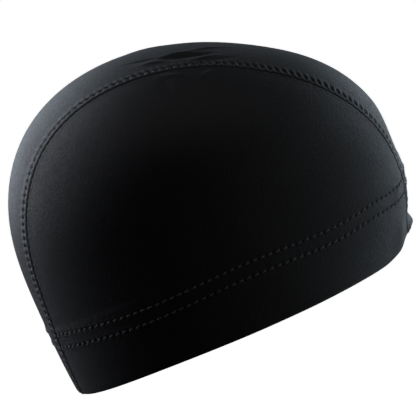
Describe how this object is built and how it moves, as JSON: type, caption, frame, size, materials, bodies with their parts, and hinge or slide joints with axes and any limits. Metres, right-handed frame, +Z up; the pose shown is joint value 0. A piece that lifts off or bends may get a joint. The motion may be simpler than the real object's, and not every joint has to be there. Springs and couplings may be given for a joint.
{
  "type": "wig cap",
  "caption": "Close-fitting dome-shaped stretch cap with a long centre panel, side panels and a deep turned-up hem, held in its worn form.",
  "frame": {"origin": "middle of the cap's opening, in the plane of its edge, under the middle of the dome", "axes": "+Z up with the cap worn level, -Y towards the forehead, +Y towards the nape, +X to the wearer's left"},
  "size_m": [0.1542, 0.2012, 0.1718],
  "materials": {
    "knit": "fine stretch knit of nylon and elastane with a satin sheen"
  },
  "bodies": {
    "root": {"center_panel": "knit", "side_panel_right": "knit", "side_panel_left": "knit", "turned_hem": "knit", "seam_allowance_right": "knit", "seam_allowance_left": "knit"}
  },
  "joints": []
}
